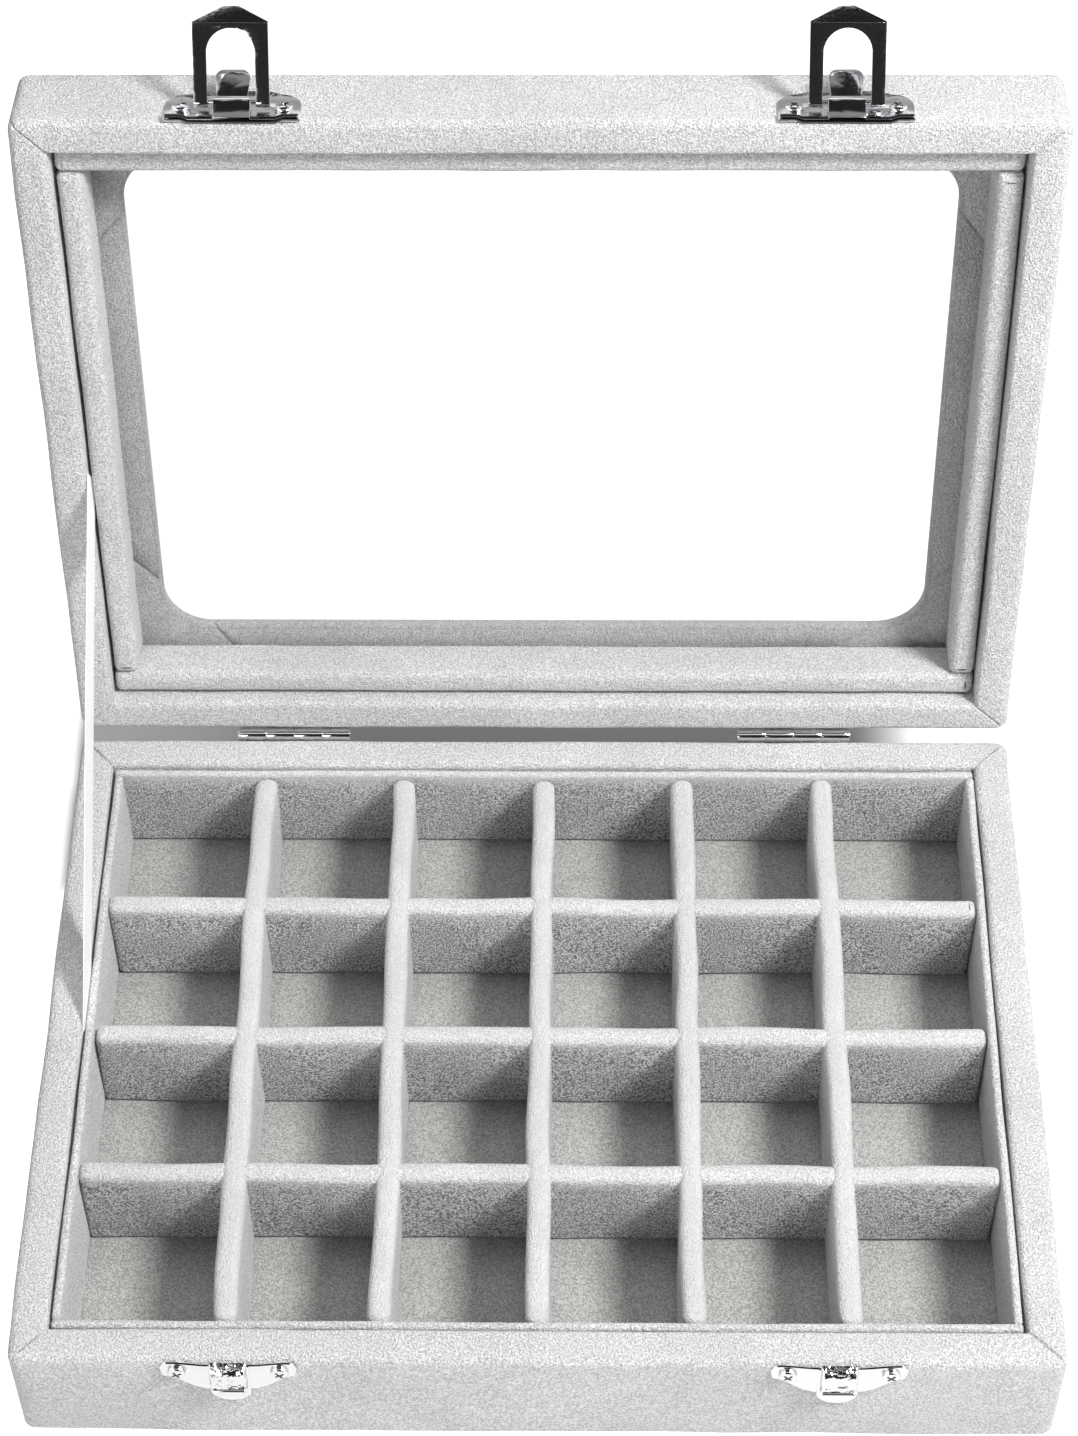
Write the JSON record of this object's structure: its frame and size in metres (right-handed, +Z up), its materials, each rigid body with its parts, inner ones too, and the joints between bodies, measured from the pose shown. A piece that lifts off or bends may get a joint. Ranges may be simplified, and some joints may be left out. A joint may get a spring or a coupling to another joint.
{
  "type": "velvet jewelry box",
  "caption": "Shallow hinged display case covered in velvet, with a grid of small cells, a glass window in its lid, hook hasps at the front and a ribbon stay.",
  "frame": {"origin": "centre of the underside of the base", "axes": "+Z up, the front with the catches faces -Y, the hinge line lies along X at the back; stored with the lid open on its ribbon and the hasps swung back"},
  "size_m": [0.2, 0.1985, 0.1904],
  "materials": {
    "velvet": "short-pile light grey velvet",
    "underside_velvet": "light grey flocked sheet",
    "felt": "light grey felt",
    "board": "dense grey-brown board",
    "clear_glass": "clear float glass",
    "plated_steel": "nickel-plated pressed steel",
    "ribbon": "white satin ribbon"
  },
  "bodies": {
    "base": {"base_bottom_board": "board", "base_front_board": "board", "base_front_liner": "velvet", "base_left_board": "board", "base_left_liner": "velvet", "base_rear_board": "board", "base_rear_liner": "velvet", "base_right_board": "board", "base_right_liner": "velvet", "base_underside_sheet": "underside_velvet", "base_velvet_wrap": "velvet", "catch_screws": "plated_steel", "cross_divider_1": "velvet", "cross_divider_2": "velvet", "cross_divider_3": "velvet", "floor_felt": "felt", "hinge_base_screws": "plated_steel", "left_catch": "plated_steel", "left_hinge_base_leaf": "plated_steel", "left_hinge_pin": "plated_steel", "lid_stay_ribbon": "ribbon", "long_divider_1": "velvet", "long_divider_2": "velvet", "long_divider_3": "velvet", "long_divider_4": "velvet", "long_divider_5": "velvet", "right_catch": "plated_steel", "right_hinge_base_leaf": "plated_steel", "right_hinge_pin": "plated_steel"},
    "lid": {"hasp_screws": "plated_steel", "hinge_lid_screws": "plated_steel", "left_hasp_pin": "plated_steel", "left_hasp_plate": "plated_steel", "left_hinge_lid_leaf": "plated_steel", "lid_front_board": "board", "lid_front_liner": "velvet", "lid_left_board": "board", "lid_left_liner": "velvet", "lid_rear_board": "board", "lid_rear_liner": "velvet", "lid_right_board": "board", "lid_right_liner": "velvet", "lid_velvet_wrap": "velvet", "lid_window_board": "board", "lid_window_velvet": "velvet", "right_hasp_pin": "plated_steel", "right_hasp_plate": "plated_steel", "right_hinge_lid_leaf": "plated_steel", "window_glass": "clear_glass"},
    "left_hasp": {"left_hasp_loop": "plated_steel"},
    "right_hasp": {"right_hasp_loop": "plated_steel"}
  },
  "joints": [
    {"name": "lid_hinge", "type": "hinge", "parent": "base", "child": "lid", "pos_m": [0, 0.076, 0.02775], "axis": [1, 0, 0], "range_deg": [0, 100.5], "deforming": ["lid_stay_ribbon"]},
    {"name": "left_hasp_swing", "type": "hinge", "parent": "lid", "child": "left_hasp", "pos_m": [-0.0575, 0.10813, 0.17725], "axis": [1, 0, 0], "range_deg": [0, 115]},
    {"name": "right_hasp_swing", "type": "hinge", "parent": "lid", "child": "right_hasp", "pos_m": [0.0575, 0.10813, 0.17725], "axis": [1, 0, 0], "range_deg": [0, 115]}
  ]
}
